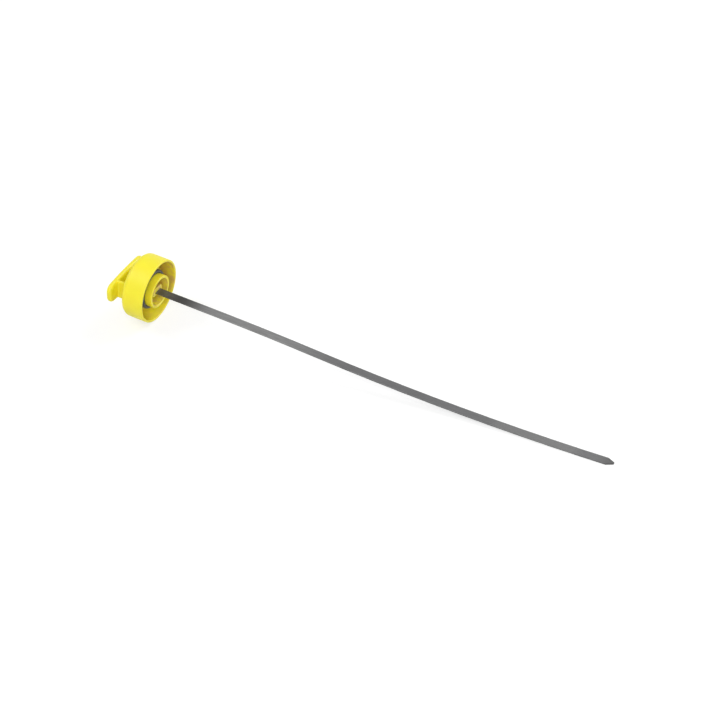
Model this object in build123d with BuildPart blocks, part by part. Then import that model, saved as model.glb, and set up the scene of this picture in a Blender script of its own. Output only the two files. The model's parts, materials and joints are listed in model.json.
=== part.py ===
from build123d import *
import os
from math import asin, atan2, cos, degrees, hypot, sin

os.makedirs("parts", exist_ok=True)

# Engine oil dipstick lying at rest: a moulded cap with a T-handle, a rubber seal ring and a steel blade.
# Stations run along the cap's axis from its mouth towards the tip of the blade. Sizes are in millimetres.

# Cap: a round skirt closed at the back, its wall drafted thinner towards the mouth
cap_diameter = 40.0
cap_length = 15.0
mouth_wall = 1.35
skirt_root_wall = 1.9
back_wall = 3.5
back_edge_round = 3.3
mouth_edge_round = 0.65
floor_round = 1.0

# Boss inside the skirt, hollowed as deep as the skirt round the core that grips the blade
boss_diameter = 20.8
boss_wall = 1.7
boss_proud = 0.85
boss_edge_round = 0.4
core_width = 10.0
core_height = 4.8
core_corner_round = 1.6
core_edge_round = 0.5
core_below_boss = 1.75

# Seal ring of round rubber section, in a shallow groove against a shoulder a little wider than the ring
seal_section = 2.3
seal_groove_depth = 0.3
seal_clearance = 0.05
shoulder_lip = 0.3
boss_land = 3.4

# T-handle: a flat bar with rounded ends and crowned long edges, on a wide stem cored out from above and below
bar_length = 38.2
bar_height = 14.0
bar_crown = 0.9
bar_thickness = 3.4
bar_corner_round = 4.7
bar_edge_flat = 0.2
stem_length = 6.85
stem_width = 22.0
stem_step = 0.3
stem_end_wall = 1.7
stem_web = 2.4
stem_corner_round = 0.6
stem_pocket_round = 1.4
stem_root_round = 0.9
bar_root_round = 0.6

# Blade: a flat spring-steel strip, straight from the mouth, set down and then up towards a pointed tip
blade_width = 5.4
blade_thickness = 0.8
straight_length = 42.9
down_length = 63.0
down_radius = 1590.0
up_length = 184.5
up_radius = 1457.0
point_length = 4.3
point_width = 1.0
point_round = 0.35
blade_edge_round = 0.15

# Root of the blade, moulded into the core and locked by a peg of plastic through its hole
root_length = 9.0
lock_hole_diameter = 2.4
lock_hole_inset = 2.0
root_clearance = 0.05

# Largest share of a wall that the round on one of its edges may take
round_share = 0.4


def held_round(size, wall):
    return min(size, wall * round_share)


# Outline of the bowed blade in the plane of its bend: x along the axis, y up
cap_radius = cap_diameter / 2
down_angle = down_length / down_radius
tip_angle = up_length / up_radius - down_angle
both_radii = down_radius + up_radius
up_centre_x = straight_length + both_radii * sin(down_angle)
up_centre_y = both_radii * cos(down_angle) - down_radius
tip_x = up_centre_x + up_radius * sin(tip_angle)
tip_y = up_centre_y - up_radius * cos(tip_angle)

# Rest: the dipstick leans on the rounded edge of its mouth and on the underside of the blade's upward set
mouth_round = held_round(mouth_edge_round, mouth_wall)
reach = up_centre_x + mouth_round
rise = up_centre_y + cap_radius - mouth_round
blade_over_edge = up_radius + blade_thickness / 2 - mouth_round
lean = atan2(rise, reach) - asin(blade_over_edge / hypot(reach, rise))

# The origin is on the floor, midway between the back of the handle and the tip
bar_edge_round = (bar_thickness - bar_edge_flat) / 2
bar_back = cap_length + stem_length + bar_thickness
bar_low_edge = bar_height / 2 - bar_edge_round
bar_back_x = (bar_edge_round - bar_back) * cos(lean) - bar_low_edge * sin(lean) - bar_edge_round
tip_top = tip_y + blade_thickness / 2 / cos(tip_angle)
tip_far_x = tip_x * cos(lean) + tip_top * sin(lean)
mouth_x = -(tip_far_x + bar_back_x) / 2
mouth_z = (cap_radius - mouth_round) * cos(lean) - mouth_round * sin(lean) + mouth_round

# Shared frame of the tilted cap
mouth = Vector(mouth_x, 0, mouth_z)
along = Vector(cos(lean), 0, -sin(lean))
upright = Vector(sin(lean), 0, cos(lean))
across = Vector(0, 1, 0)
side = Plane(origin=mouth, x_dir=along, z_dir=-across)
plan = Plane(origin=mouth, x_dir=along, z_dir=upright)
cap_axis = Axis(mouth, along)


def section(station):
    return Plane(origin=mouth + along * station, x_dir=across, z_dir=along)


# Stations and radii shared by the cap and the seal ring
mouth_bore = cap_radius - mouth_wall
skirt_root_bore = cap_radius - skirt_root_wall
boss_radius = boss_diameter / 2
boss_bore = boss_radius - boss_wall
groove_radius = boss_radius - seal_groove_depth
seal_room = seal_section + 2 * seal_clearance
shoulder_station = -boss_land - seal_room
shoulder_radius = groove_radius + seal_room + shoulder_lip
seal_station = shoulder_station + seal_room / 2
seal_radius = groove_radius + seal_room / 2
floor_station = back_wall - cap_length
core_end = boss_proud - core_below_boss
skirt_floor_round = held_round(floor_round, skirt_root_bore - shoulder_radius)
boss_round = held_round(boss_edge_round, boss_wall)
hollow_round = held_round(floor_round, boss_bore - core_width / 2)
bar_inner = -cap_length - stem_length
bar_end_height = bar_height - 2 * bar_crown
bar_fall = bar_crown * (stem_width / bar_length) ** 2
stem_height = bar_height - 2 * (bar_fall + stem_step)
lock_hole_station = lock_hole_inset - root_length

# Bar of the handle, before it joins the cap
with BuildPart() as bar:
    with BuildSketch(section(bar_inner)) as bar_outline:
        with BuildLine():
            upper_edge = ThreePointArc(
                (-bar_length / 2, bar_end_height / 2),
                (0, bar_height / 2),
                (bar_length / 2, bar_end_height / 2),
            )
            lower_edge = mirror(upper_edge, about=Plane.XZ)
            Line(upper_edge @ 0, lower_edge @ 0)
            Line(upper_edge @ 1, lower_edge @ 1)
        make_face()
        fillet(bar_outline.vertices(), held_round(bar_corner_round, bar_end_height))
    extrude(amount=-bar_thickness)
    bar_faces = bar.faces().sort_by(cap_axis)
    fillet(bar_faces[0].edges() + bar_faces[-1].edges(), bar_edge_round)

# Half section of the turned cap, from the middle of its back round to the floor of the boss: corner, round
cap_profile = [
    ((-cap_length, 0), 0),
    ((-cap_length, cap_radius), back_edge_round),
    ((0, cap_radius), mouth_round),
    ((0, mouth_bore), mouth_round),
    ((floor_station, skirt_root_bore), skirt_floor_round),
    ((floor_station, shoulder_radius), skirt_floor_round),
    ((shoulder_station, shoulder_radius), 0),
    ((shoulder_station, groove_radius), 0),
    ((-boss_land, groove_radius), 0),
    ((-boss_land, boss_radius), 0),
    ((boss_proud, boss_radius), boss_round),
    ((boss_proud, boss_bore), boss_round),
    ((floor_station, boss_bore), hollow_round),
    ((floor_station, 0), 0),
]
cap_corners = [corner for corner, corner_round in cap_profile]
cap_rounds = [corner_round for corner, corner_round in cap_profile]

# Cap, one moulding: skirt, back, shoulder and boss turned about the axis, then the core and the handle
with BuildPart() as cap:
    with BuildSketch(side):
        with BuildLine():
            FilletPolyline(*cap_corners, radius=cap_rounds, close=True)
        make_face()
    revolve(axis=cap_axis)

    with BuildSketch(section(floor_station)):
        RectangleRounded(core_width, core_height, held_round(core_corner_round, core_height))
    extrude(amount=core_end - floor_station)
    core_face = cap.faces(Select.LAST).sort_by(cap_axis)[-1]
    fillet(core_face.edges(), core_edge_round)

    with BuildSketch(section(bar_inner - bar_thickness / 2)) as stem_outline:
        Rectangle(stem_width, stem_height)
        with Locations((0, stem_height / 2), (0, -stem_height / 2)):
            RectangleRounded(
                stem_width - 2 * stem_end_wall,
                stem_height - stem_web,
                stem_pocket_round,
                mode=Mode.SUBTRACT,
            )
        wall_corners = stem_outline.vertices().group_by(Axis.Y)
        fillet(wall_corners[0] + wall_corners[-1], held_round(stem_corner_round, stem_end_wall))
    extrude(amount=bar_thickness / 2 + stem_length + back_wall / 2)
    fillet(cap.edges(Select.NEW), stem_root_round)
    add(bar.part)
    fillet(cap.edges(Select.NEW), bar_root_round)

    slot_length = root_length + root_clearance + core_end
    with BuildSketch(section(core_end)):
        Rectangle(blade_width + 2 * root_clearance, blade_thickness + 2 * root_clearance)
    extrude(amount=-slot_length, mode=Mode.SUBTRACT)
    with BuildSketch(plan):
        with Locations((lock_hole_station, 0)):
            Circle(lock_hole_diameter / 2 - root_clearance)
    extrude(amount=blade_thickness / 2 + root_clearance, both=True)
cap.part.label = "cap"
export_step(cap.part, "parts/cap.step")

# Seal ring, a plain ring of round section
with BuildPart() as seal_ring:
    with BuildSketch(side):
        with Locations((seal_station, seal_radius)):
            Circle(seal_section / 2)
    revolve(axis=cap_axis)
seal_ring.part.label = "seal_ring"
export_step(seal_ring.part, "parts/seal_ring.step")

# Outline of the blade's flat blank, from one side of its root round the point to the other: corner, round
end_round = held_round(point_round, point_width)
blank_outline = [
    ((-root_length, -blade_width / 2), 0),
    ((tip_x - point_length, -blade_width / 2), 0),
    ((tip_x, -point_width / 2), end_round),
    ((tip_x, point_width / 2), end_round),
    ((tip_x - point_length, blade_width / 2), 0),
    ((-root_length, blade_width / 2), 0),
]
blank_corners = [corner for corner, corner_round in blank_outline]
blank_rounds = [corner_round for corner, corner_round in blank_outline]

# Blade: the bowed strip, cut to the outline of its blank, with the lock hole in its root
strip_turn = tip_angle + down_angle + blade_thickness / up_radius
with BuildPart() as blade:
    with BuildSketch(side):
        with BuildLine():
            straight = Line((-root_length, 0), (straight_length, 0))
            fall = JernArc(straight @ 1, straight % 1, down_radius, -degrees(down_angle))
            climb = JernArc(fall @ 1, fall % 1, up_radius, degrees(strip_turn))
        trace(line_width=blade_thickness)
    extrude(amount=blade_width / 2, both=True)
    with BuildSketch(plan):
        with BuildLine():
            FilletPolyline(*blank_corners, radius=blank_rounds, close=True)
        make_face()
    extrude(amount=cap_radius, both=True, mode=Mode.INTERSECT)
    with BuildSketch(plan):
        with Locations((lock_hole_station, 0)):
            Circle(lock_hole_diameter / 2)
    extrude(amount=blade_thickness, both=True, mode=Mode.SUBTRACT)
    long_edges = blade.edges().filter_by(lambda edge: edge.length > 2 * blade_width)
    fillet(long_edges, held_round(blade_edge_round, blade_thickness))
blade.part.label = "blade"
export_step(blade.part, "parts/blade.step")
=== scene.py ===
import json
from math import atan2, cos, radians, sin

import bpy
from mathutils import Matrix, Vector


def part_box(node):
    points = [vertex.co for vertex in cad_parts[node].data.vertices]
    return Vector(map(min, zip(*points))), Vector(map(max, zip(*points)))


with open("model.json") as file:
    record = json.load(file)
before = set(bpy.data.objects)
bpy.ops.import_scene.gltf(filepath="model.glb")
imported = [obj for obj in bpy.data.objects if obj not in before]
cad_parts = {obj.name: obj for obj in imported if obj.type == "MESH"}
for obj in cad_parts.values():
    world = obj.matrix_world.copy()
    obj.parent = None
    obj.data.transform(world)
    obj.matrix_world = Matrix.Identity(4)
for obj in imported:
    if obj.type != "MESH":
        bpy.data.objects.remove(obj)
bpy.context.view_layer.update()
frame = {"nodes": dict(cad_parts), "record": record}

# Cap: the head of the dipstick, a round skirt with a boss inside it and a T-handle on its back.
# It is one injection moulding of yellow nylon, shot round the root of the blade.
# It closes the dipstick tube. Its inside carries painted shade: a mottled ochre for the shade in the skirt's
# recess and the boss's hollow, weaker low in the skirt, where light falls in.
MM = 0.001
CAP_YELLOW = "F0E62B"
CAP_YELLOW_DEEP = "EADD24"
# Painted shade: this ochre darkens the inside of the skirt and the boss's hollow, where shade falls
CAP_PAINTED_SHADE = "CEA66A"
# Where the painted shade lies: how far in from the skirt's outside, how deep, how near to the boss and how
# low
CAP_WALL_MM = 1.4
CAP_LIP_MM = 0.7
CAP_DEPTH_MM = 11.7
BOSS_WALL_MM = 1.6
BOSS_MARGIN_MM = 0.2
SHADE_BOTTOM_MM = -17.0
SHADE_FULL_MM = -7.0
SHADE_AT_BOSS = 0.05
SHADE_AT_BOTTOM = 0.35
# Patterns and finish of the moulding
SHADE_PATCH_MM = 3.5
SHADE_NOISE = (0.38, 0.64)
SHADE_SHARE = (0.12, 0.8)
FLOW_MARK_MM = 9.0
CAP_ROUGHNESS = (0.40, 0.50)
CAP_RELIEF = 0.35
NYLON_IOR = 1.53
NYLON_GLOW = 0.15
NYLON_GLOW_MM = 1.5
NYLON_GLOW_SPREAD = (1.0, 0.5, 0.1)
# A spark-eroded mould leaves a grain of about 0.05 mm, too fine to show, so it is drawn ten times coarser
CAP_GRAIN_MM = 0.55
CAP_GRAIN_DEPTH_MM = 0.012
# The middle of the frame's neck plug lies this far behind the mouth
PLUG_BEHIND_MOUTH_MM = 1.475

neck_plug = frame["record"]["mounts"][0]
cap_axis = Vector(neck_plug["axis"])
cap_lean = atan2(-cap_axis.z, cap_axis.x)
cap_mouth = Vector(neck_plug["pos_m"]) + cap_axis * PLUG_BEHIND_MOUTH_MM * MM
cap_low, cap_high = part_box("cap")
cap_radius = (cap_high.y - cap_low.y) / 2
bore_radius = cap_radius - CAP_WALL_MM * MM
boss_radius = neck_plug["dims"]["r_mm"] * MM


def linear(colour):
    channels = [int(colour[i:i + 2], 16) / 255 for i in (0, 2, 4)]
    return [c / 12.92 if c <= 0.04045 else ((c + 0.055) / 1.055) ** 2.4 for c in channels] + [1.0]


def add_node(tree, kind, inputs=None, **settings):
    node = tree.nodes.new("ShaderNode" + kind)
    for name, value in settings.items():
        setattr(node, name, value)
    for name, value in (inputs or {}).items():
        if isinstance(value, bpy.types.NodeSocket):
            tree.links.new(value, node.inputs[name])
        else:
            node.inputs[name].default_value = value
    return node


def new_material(name):
    material = bpy.data.materials.new(name)
    material.use_nodes = True
    material.node_tree.nodes.clear()
    return material


def dress(node_name, material):
    slots = frame["nodes"][node_name].data.materials
    slots.clear()
    slots.append(material)


def per_metre(size_mm):
    return 1 / (size_mm * MM)


# Moulded nylon gives the eye a strong yellow with a soft gloss, faint flow marks and a glow in its thin walls
moulded_nylon = new_material("moulded_yellow_nylon")
tree = moulded_nylon.node_tree
place = add_node(tree, "TexCoord").outputs["Object"]
flow_marks = add_node(tree, "TexNoise", {"Vector": place, "Scale": per_metre(FLOW_MARK_MM), "Detail": 2.0})
yellow = add_node(tree, "Mix", {
    "Factor": flow_marks.outputs["Fac"],
    "A": linear(CAP_YELLOW),
    "B": linear(CAP_YELLOW_DEEP),
}, data_type="RGBA").outputs["Result"]

# The painted shade is found in the cap's own frame: X from the mouth along the axis, Z up across it
in_cap = add_node(tree, "Mapping", {
    "Vector": place,
    "Location": cap_mouth,
    "Rotation": (0.0, cap_lean, 0.0),
}, vector_type="TEXTURE").outputs["Vector"]
cap_axes = add_node(tree, "SeparateXYZ", {"Vector": in_cap}).outputs
off_axis = add_node(tree, "VectorMath", {
    0: in_cap,
    1: (0.0, 1.0, 1.0),
}, operation="MULTIPLY").outputs["Vector"]
radius = add_node(tree, "VectorMath", {0: off_axis}, operation="LENGTH").outputs["Value"]
in_bore = add_node(tree, "MapRange", {
    "Value": radius,
    "From Min": bore_radius,
    "From Max": cap_radius - CAP_LIP_MM * MM,
    "To Min": 1.0,
    "To Max": 0.0,
}, interpolation_type="SMOOTHSTEP").outputs["Result"]
in_front = add_node(tree, "Math", {
    0: cap_axes["X"],
    1: -CAP_DEPTH_MM * MM,
}, operation="GREATER_THAN").outputs["Value"]
round_boss = add_node(tree, "MapRange", {
    "Value": radius,
    "From Min": boss_radius + BOSS_MARGIN_MM * MM,
    "From Max": bore_radius,
    "To Min": SHADE_AT_BOSS,
    "To Max": 1.0,
}).outputs["Result"]
in_boss = add_node(tree, "Math", {
    0: radius,
    1: boss_radius - BOSS_WALL_MM * MM,
}, operation="LESS_THAN").outputs["Value"]
in_recess = add_node(tree, "Math", {0: round_boss, 1: in_boss}, operation="MAXIMUM").outputs["Value"]
above_bottom = add_node(tree, "MapRange", {
    "Value": cap_axes["Z"],
    "From Min": SHADE_BOTTOM_MM * MM,
    "From Max": SHADE_FULL_MM * MM,
    "To Min": SHADE_AT_BOTTOM,
    "To Max": 1.0,
}, interpolation_type="SMOOTHSTEP").outputs["Result"]
# Painted shade: mottled ochre over the skirt's inside and the boss's hollow, faint by the boss's outside and
# weaker low in the skirt, where light falls in
patches = add_node(tree, "TexNoise", {"Vector": place, "Scale": per_metre(SHADE_PATCH_MM), "Detail": 3.0})
painted_shade = add_node(tree, "MapRange", {
    "Value": patches.outputs["Fac"],
    "From Min": SHADE_NOISE[0],
    "From Max": SHADE_NOISE[1],
    "To Min": SHADE_SHARE[0],
    "To Max": SHADE_SHARE[1],
}).outputs["Result"]
for limit in (in_bore, in_front, in_recess, above_bottom):
    painted_shade = add_node(tree, "Math", {0: painted_shade, 1: limit}, operation="MULTIPLY").outputs["Value"]
yellow_in_shade = add_node(tree, "Mix", {"Factor": painted_shade, "A": yellow, "B": linear(CAP_PAINTED_SHADE)}, data_type="RGBA")

grain = add_node(tree, "TexNoise", {"Vector": place, "Scale": per_metre(CAP_GRAIN_MM), "Detail": 3.0})
gloss = add_node(tree, "MapRange", {
    "Value": grain.outputs["Fac"],
    "To Min": CAP_ROUGHNESS[0],
    "To Max": CAP_ROUGHNESS[1],
})
relief = add_node(tree, "Bump", {
    "Height": grain.outputs["Fac"],
    "Strength": CAP_RELIEF,
    "Distance": CAP_GRAIN_DEPTH_MM * MM,
})
surface = add_node(tree, "BsdfPrincipled", {
    "Base Color": yellow_in_shade.outputs["Result"],
    "Roughness": gloss.outputs["Result"],
    "Normal": relief.outputs["Normal"],
    "IOR": NYLON_IOR,
    "Subsurface Weight": NYLON_GLOW,
    "Subsurface Radius": NYLON_GLOW_SPREAD,
    "Subsurface Scale": NYLON_GLOW_MM * MM,
})
add_node(tree, "OutputMaterial", {"Surface": surface.outputs["BSDF"]})
dress("cap", moulded_nylon)

# Seal ring: a ring of round section that seals the boss against the rim of the dipstick tube.
# It is compression moulded from nitrile rubber and barrel tumbled to clear its flash.
# It is stretched over the end of the boss and sits in a shallow groove.
SEAL_CHARCOAL = "34383D"
SEAL_BLOOM = "4C5157"
SEAL_BLOOM_MM = 1.6
SEAL_RELIEF = 0.2
SEAL_ROUGHNESS = 0.48
NITRILE_IOR = 1.52
# Tumbling leaves a grain of a few hundredths of a millimetre, too fine to show, so it is drawn coarser
SEAL_GRAIN_MM = 0.25
SEAL_GRAIN_DEPTH_MM = 0.01

# Tumbled nitrile gives the eye a dark charcoal with a dull sheen, greyed in spots where its wax has bloomed
nitrile_rubber = new_material("tumbled_nitrile_rubber")
tree = nitrile_rubber.node_tree
place = add_node(tree, "TexCoord").outputs["Object"]
bloom = add_node(tree, "TexNoise", {"Vector": place, "Scale": per_metre(SEAL_BLOOM_MM), "Detail": 4.0})
charcoal = add_node(tree, "Mix", {
    "Factor": bloom.outputs["Fac"],
    "A": linear(SEAL_CHARCOAL),
    "B": linear(SEAL_BLOOM),
}, data_type="RGBA")
grain = add_node(tree, "TexNoise", {"Vector": place, "Scale": per_metre(SEAL_GRAIN_MM), "Detail": 2.0})
relief = add_node(tree, "Bump", {
    "Height": grain.outputs["Fac"],
    "Strength": SEAL_RELIEF,
    "Distance": SEAL_GRAIN_DEPTH_MM * MM,
})
surface = add_node(tree, "BsdfPrincipled", {
    "Base Color": charcoal.outputs["Result"],
    "Roughness": SEAL_ROUGHNESS,
    "Normal": relief.outputs["Normal"],
    "IOR": NITRILE_IOR,
})
add_node(tree, "OutputMaterial", {"Surface": surface.outputs["BSDF"]})
dress("seal_ring", nitrile_rubber)

# Blade: a strip of cold-rolled spring steel, cropped to a blunt point and set in two gentle bends.
# Its root is moulded into the core of the cap. Just outside the cap it is darkened brown as painted shade,
# for the cap's shade and dark reflection on it; it is also darker at the tip, greyer from its middle on and
# lighter over a length near the tip.
STEEL_LIGHT = "868686"
STEEL_DARK = "797979"
STEEL_GREYER = "616162"
STEEL_LIGHTER = "6E6E6E"
STEEL_CAP_SHADE_AND_TIP = "484745"
STEEL_ROUGHNESS = (0.34, 0.46)
# Rolls leave scratches some hundredths of a millimetre wide, too fine to show, so they are drawn coarser
ROLL_GRAIN_MM = 0.8
ROLL_GRAIN_LENGTH_MM = 14.0
ROLL_GRAIN_DEPTH_MM = 0.01
ROLL_GRAIN_NOISE = (0.35, 0.65)
ROLL_RELIEF = 0.15
# Tone along the blade: greyer in patches from its middle on, lighter over a length near the tip and darker at
# the tip
GREYING_PATCH_MM = 24.0
GREYING_NOISE = (0.3, 0.7)
GREYING_SHARE = (0.78, 0.92)
# Painted shade: a brown darkening just outside the cap stands in for the cap's shade and dark reflection on
# the blade
CAP_SHADE_AT_MOUTH = 0.25
TIP_DARK_SHARE = 0.55
# Places along the blade, from the mouth of the cap
CAP_SHADE_FROM_MM = 1.0
CAP_SHADE_FULL_MM = 15.0
CAP_SHADE_END_MM = 38.0
GREYER_FROM_MM = 76.0
GREYER_FULL_MM = 126.0
LIGHTER_FROM_MM = 214.0
LIGHTER_TO_MM = 264.0
LIGHTER_FADE_MM = 9.0
TIP_DARK_FROM_MM = 278.0
TIP_DARK_FULL_MM = 289.0

# Rolled steel gives the eye a satin grey with fine lengthwise streaks, which smear reflections across it
rolled_steel = new_material("rolled_spring_steel")
tree = rolled_steel.node_tree
place = add_node(tree, "TexCoord").outputs["Object"]
stretched = add_node(tree, "Mapping", {
    "Vector": place,
    "Scale": (per_metre(ROLL_GRAIN_LENGTH_MM), per_metre(ROLL_GRAIN_MM), per_metre(ROLL_GRAIN_MM)),
}).outputs["Vector"]
roll_grain = add_node(tree, "TexNoise", {"Vector": stretched, "Scale": 1.0, "Detail": 4.0}).outputs["Fac"]
streaks = add_node(tree, "MapRange", {
    "Value": roll_grain,
    "From Min": ROLL_GRAIN_NOISE[0],
    "From Max": ROLL_GRAIN_NOISE[1],
})
steel = add_node(tree, "Mix", {
    "Factor": streaks.outputs["Result"],
    "A": linear(STEEL_DARK),
    "B": linear(STEEL_LIGHT),
}, data_type="RGBA").outputs["Result"]

greying_patches = add_node(tree, "TexNoise", {"Vector": place, "Scale": per_metre(GREYING_PATCH_MM), "Detail": 2.0})
greying_share = add_node(tree, "MapRange", {
    "Value": greying_patches.outputs["Fac"],
    "From Min": GREYING_NOISE[0],
    "From Max": GREYING_NOISE[1],
    "To Min": GREYING_SHARE[0],
    "To Max": GREYING_SHARE[1],
}).outputs["Result"]
along = add_node(tree, "SeparateXYZ", {"Vector": place}).outputs["X"]
changes = {
    "greyer": (GREYER_FROM_MM, GREYER_FULL_MM, 0.0, greying_share),
    "lighter": (LIGHTER_FROM_MM, LIGHTER_FROM_MM + LIGHTER_FADE_MM, 0.0, 1.0),
    "past_lighter": (LIGHTER_TO_MM, LIGHTER_TO_MM + LIGHTER_FADE_MM, 1.0, 0.0),
    "cap_shade": (CAP_SHADE_FROM_MM, CAP_SHADE_FULL_MM, CAP_SHADE_AT_MOUTH, 1.0),
    "past_cap_shade": (CAP_SHADE_FULL_MM, CAP_SHADE_END_MM, 1.0, 0.0),
    "darker_tip": (TIP_DARK_FROM_MM, TIP_DARK_FULL_MM, 0.0, TIP_DARK_SHARE),
}
share = {}
for name, (start, end, before, after) in changes.items():
    share[name] = add_node(tree, "MapRange", {
        "Value": along,
        "From Min": cap_mouth.x + start * MM,
        "From Max": cap_mouth.x + end * MM,
        "To Min": before,
        "To Max": after,
    }, interpolation_type="SMOOTHSTEP").outputs["Result"]
lighter_length = add_node(tree, "Math", {0: share["lighter"], 1: share["past_lighter"]}, operation="MULTIPLY")
# Painted shade: the brown band just outside the cap, for the cap's shade and reflection; the darker tip uses
# the same brown
cap_shade_band = add_node(tree, "Math", {0: share["cap_shade"], 1: share["past_cap_shade"]}, operation="MULTIPLY")
cap_shade_and_tip = add_node(tree, "Math", {0: cap_shade_band.outputs["Value"], 1: share["darker_tip"]}, operation="MAXIMUM")
for factor, colour in (
    (share["greyer"], STEEL_GREYER),
    (lighter_length.outputs["Value"], STEEL_LIGHTER),
    (cap_shade_and_tip.outputs["Value"], STEEL_CAP_SHADE_AND_TIP),
):
    mixed = add_node(tree, "Mix", {"Factor": factor, "A": steel, "B": linear(colour)}, data_type="RGBA")
    steel = mixed.outputs["Result"]

gloss = add_node(tree, "MapRange", {
    "Value": roll_grain,
    "To Min": STEEL_ROUGHNESS[0],
    "To Max": STEEL_ROUGHNESS[1],
})
relief = add_node(tree, "Bump", {
    "Height": roll_grain,
    "Strength": ROLL_RELIEF,
    "Distance": ROLL_GRAIN_DEPTH_MM * MM,
})
surface = add_node(tree, "BsdfPrincipled", {
    "Base Color": steel,
    "Metallic": 1.0,
    "Roughness": gloss.outputs["Result"],
    "Normal": relief.outputs["Normal"],
})
add_node(tree, "OutputMaterial", {"Surface": surface.outputs["BSDF"]})
dress("blade", rolled_steel)

# Floor: a round studio table top in matt white paint, on which the dipstick lies.
# To the camera and in reflections it is as white as the tent behind it, so that only the soft shadow shows.
# To all other rays it is a plain pale grey, which lights the undersides as a table does.
FLOOR_RADIUS = 1.0
FLOOR_CORNERS = 128
FLOOR_GREY = "CCCCCC"
FLOOR_SHADED = "AEAEAE"
FLOOR_GLOW = 0.63


def seen_rays(tree):
    path = add_node(tree, "LightPath").outputs
    direct = add_node(tree, "Math", {0: path["Is Camera Ray"], 1: path["Is Glossy Ray"]}, operation="ADD")
    return add_node(tree, "Math", {
        0: direct.outputs["Value"],
        1: path["Is Transmission Ray"],
    }, operation="ADD", use_clamp=True).outputs["Value"]


bpy.ops.mesh.primitive_circle_add(vertices=FLOOR_CORNERS, radius=FLOOR_RADIUS, fill_type="NGON")
floor = bpy.context.object
floor.name = "studio_floor"

# Matt white paint gives the eye an even white with no gloss
white_paint = new_material("matt_white_paint")
tree = white_paint.node_tree
pale_grey = add_node(tree, "BsdfDiffuse", {"Color": linear(FLOOR_GREY)})
shaded = add_node(tree, "BsdfDiffuse", {"Color": linear(FLOOR_SHADED)})
glow = add_node(tree, "Emission", {"Strength": FLOOR_GLOW})
white = add_node(tree, "AddShader", {0: shaded.outputs["BSDF"], 1: glow.outputs["Emission"]})
paint = add_node(tree, "MixShader", {
    0: seen_rays(tree),
    1: pale_grey.outputs["BSDF"],
    2: white.outputs["Shader"],
})
add_node(tree, "OutputMaterial", {"Surface": paint.outputs["Shader"]})
floor.data.materials.append(white_paint)

# Studio light: a white cloth tent, with a wide low lamp in front, one behind and one at the handle's end.
# The tent is full white to the camera and in reflections, and lights the dipstick at a third of that.
TENT_WHITE = "FFFFFF"
TENT_LIGHT = 0.33
LAMP_DISTANCE = 1.5

scene = bpy.context.scene
tent = bpy.data.worlds.new("white_tent")
tent.use_nodes = True
scene.world = tent
tree = tent.node_tree
tree.nodes.clear()
lighting = add_node(tree, "Background", {"Color": linear(TENT_WHITE), "Strength": TENT_LIGHT})
backdrop = add_node(tree, "Background", {"Color": linear(TENT_WHITE), "Strength": 1.0})
cloth = add_node(tree, "MixShader", {
    0: seen_rays(tree),
    1: lighting.outputs["Background"],
    2: backdrop.outputs["Background"],
})
add_node(tree, "OutputWorld", {"Surface": cloth.outputs["Shader"]})


def stand_facing(thing, target, azimuth, elevation, distance):
    level = cos(radians(elevation))
    towards = Vector((
        level * sin(radians(azimuth)),
        -level * cos(radians(azimuth)),
        sin(radians(elevation)),
    ))
    thing.location = target + towards * distance
    thing.rotation_euler = (-towards).to_track_quat("-Z", "Y").to_euler()
    scene.collection.objects.link(thing)


def soft_lamp(name, azimuth, elevation, side, power):
    lamp = bpy.data.lights.new(name, "AREA")
    lamp.energy = power
    lamp.size = side
    stand_facing(bpy.data.objects.new(name, lamp), Vector(), azimuth, elevation, LAMP_DISTANCE)


soft_lamp("front_lamp", azimuth=25, elevation=27, side=1.4, power=15.5)
soft_lamp("back_lamp", azimuth=153, elevation=37, side=0.9, power=13.3)
soft_lamp("end_lamp", azimuth=-70, elevation=46, side=0.7, power=7.4)

# Camera: a long lens about a metre off, held level and looking down across the blade from the tip's side.
# It stands at the photograph's viewing angle, with the dipstick framed as it is there.
CAMERA_AZIMUTH = 26.236
CAMERA_ELEVATION = 40.474
CAMERA_DISTANCE = 1.0
CAMERA_LENS_MM = 86.05
CAMERA_SENSOR_MM = 36.0
CAMERA_AIM_MM = (-2.385, 8.955, 8.0)

camera = bpy.data.objects.new("camera", bpy.data.cameras.new("camera"))
camera.data.lens = CAMERA_LENS_MM
camera.data.sensor_width = CAMERA_SENSOR_MM
stand_facing(camera, Vector(CAMERA_AIM_MM) * MM, CAMERA_AZIMUTH, CAMERA_ELEVATION, CAMERA_DISTANCE)
scene.camera = camera
scene.view_settings.view_transform = "Standard"
